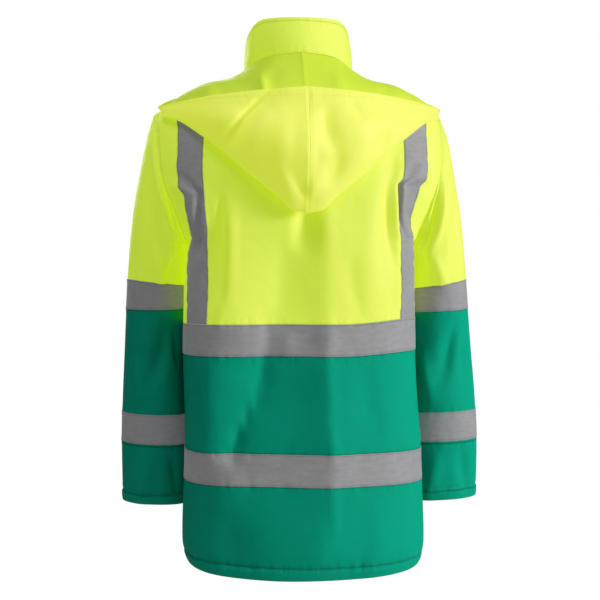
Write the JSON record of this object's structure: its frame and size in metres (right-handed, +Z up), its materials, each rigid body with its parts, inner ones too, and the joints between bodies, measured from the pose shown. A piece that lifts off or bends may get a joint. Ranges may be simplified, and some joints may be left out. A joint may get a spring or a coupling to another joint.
{
  "type": "high-visibility work jacket",
  "caption": "Long high-visibility work jacket in worn shape: yellow above, green below, reflective bands and braces, stand collar, hood hanging down the back, front zip.",
  "frame": {"origin": "centre line inside the neck, 13 mm above the side neck points, where the shoulders carry the jacket", "axes": "+Z up along the wearer's height, the front faces -Y, +X is the wearer's left"},
  "size_m": [0.6122, 0.3584, 0.8883],
  "materials": {
    "shell_yellow": "coated woven polyester, fluorescent yellow, soft sheen",
    "shell_green": "coated woven polyester, green, soft sheen",
    "reflective_tape": "grey glass-bead tape, matte",
    "zip_chain": "woven tape and moulded chain",
    "zip_metal": "dark enamel"
  },
  "bodies": {
    "jacket": {"back_upper": "shell_yellow", "front_left_upper": "shell_yellow", "front_right_upper": "shell_yellow", "sleeve_left_upper": "shell_yellow", "sleeve_right_upper": "shell_yellow", "collar": "shell_yellow", "hood_left": "shell_yellow", "hood_right": "shell_yellow", "back_lower": "shell_green", "front_left_lower": "shell_green", "front_right_lower": "shell_green", "sleeve_left_lower": "shell_green", "sleeve_right_lower": "shell_green", "band_upper_back": "reflective_tape", "band_upper_front_left": "reflective_tape", "band_upper_front_right": "reflective_tape", "band_lower_back": "reflective_tape", "band_lower_front_left": "reflective_tape", "band_lower_front_right": "reflective_tape", "brace_back_left": "reflective_tape", "brace_back_right": "reflective_tape", "brace_front_left": "reflective_tape", "brace_front_right": "reflective_tape", "sleeve_left_tape_elbow": "reflective_tape", "sleeve_left_tape_forearm": "reflective_tape", "sleeve_right_tape_elbow": "reflective_tape", "sleeve_right_tape_forearm": "reflective_tape", "zip_chain": "zip_chain", "zip_slider": "zip_metal"},
    "zip_pull": {"zip_pull": "zip_metal"}
  },
  "joints": [
    {"name": "pull_hinge", "type": "hinge", "parent": "jacket", "child": "zip_pull", "pos_m": [0, -0.09107, -0.01614], "axis": [-1, 0, 0], "range_deg": [0, 150]}
  ]
}
